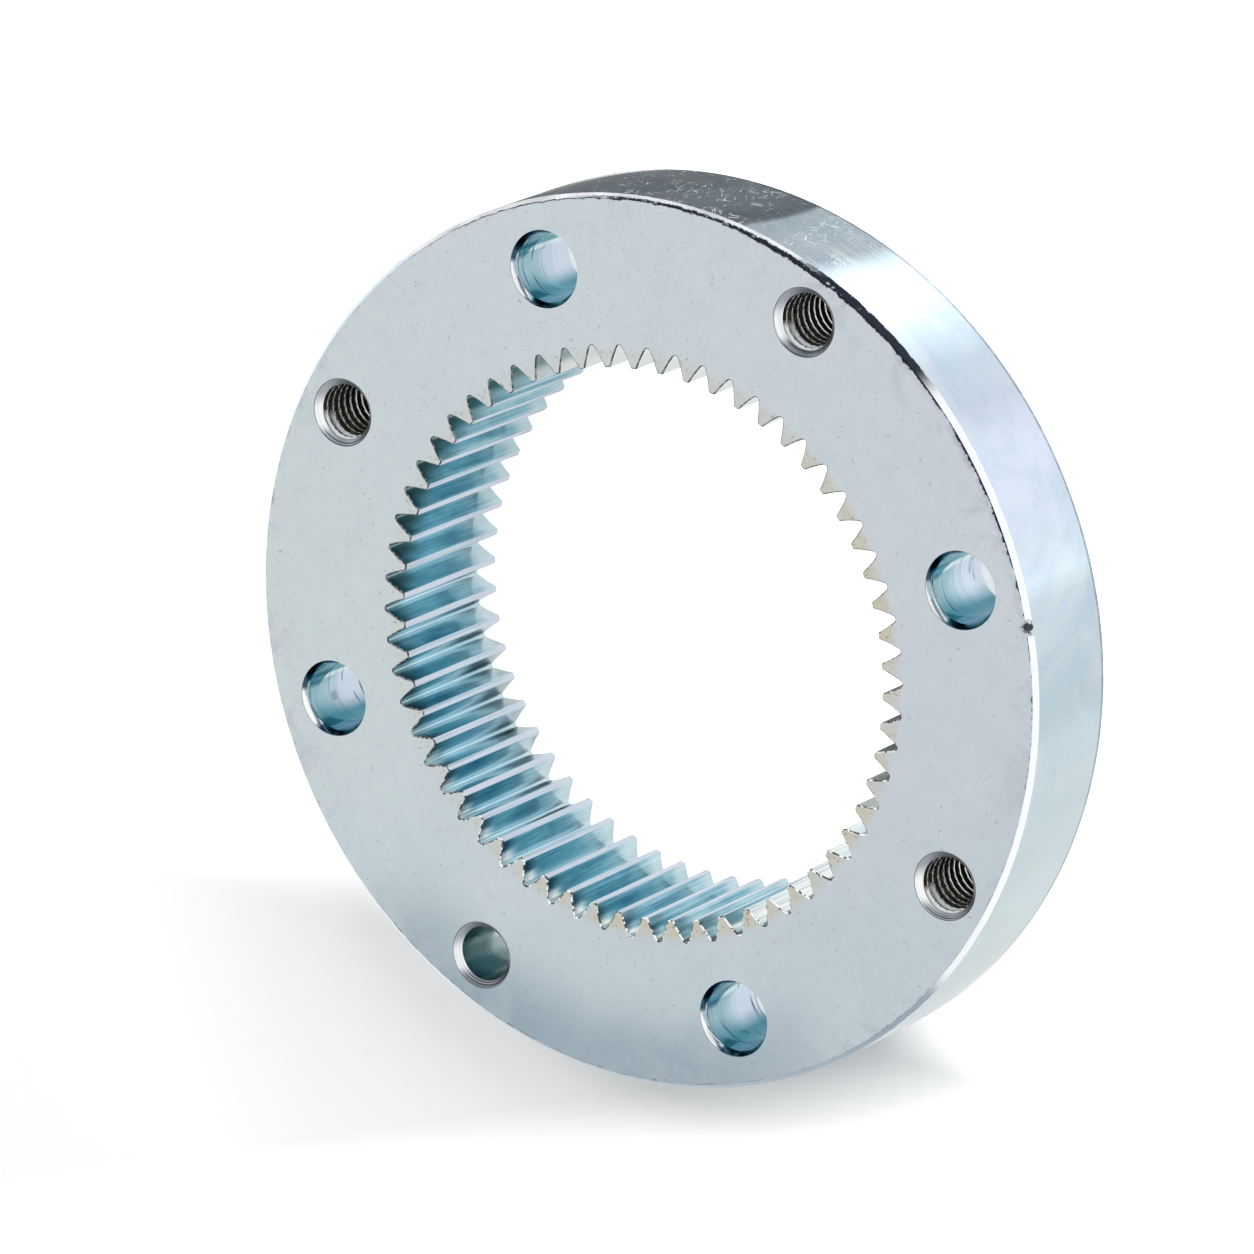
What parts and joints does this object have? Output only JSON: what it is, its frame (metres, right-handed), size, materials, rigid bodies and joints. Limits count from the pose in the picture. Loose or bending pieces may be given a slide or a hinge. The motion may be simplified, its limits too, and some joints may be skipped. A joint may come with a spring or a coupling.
{
  "type": "splined flange",
  "caption": "Flat round steel flange with straight internal gear teeth round its bore, plain and tapped bolt holes through its rim and a low toothed boss behind.",
  "frame": {"origin": "on the ring's axis, in the plane of the boss's end face, which is the lowest face", "axes": "+Z along the ring's axis, from the boss to the drilled face; +X through the middle of a plain bolt hole"},
  "size_m": [0.136, 0.136, 0.025],
  "materials": {
    "zinc_plated_steel": "turned and ground steel under bright zinc plating with a pale blue passivation, glossy on the teeth and rim and cloudy on the flat face"
  },
  "bodies": {
    "root": {"flange_ring": "zinc_plated_steel"}
  },
  "joints": []
}
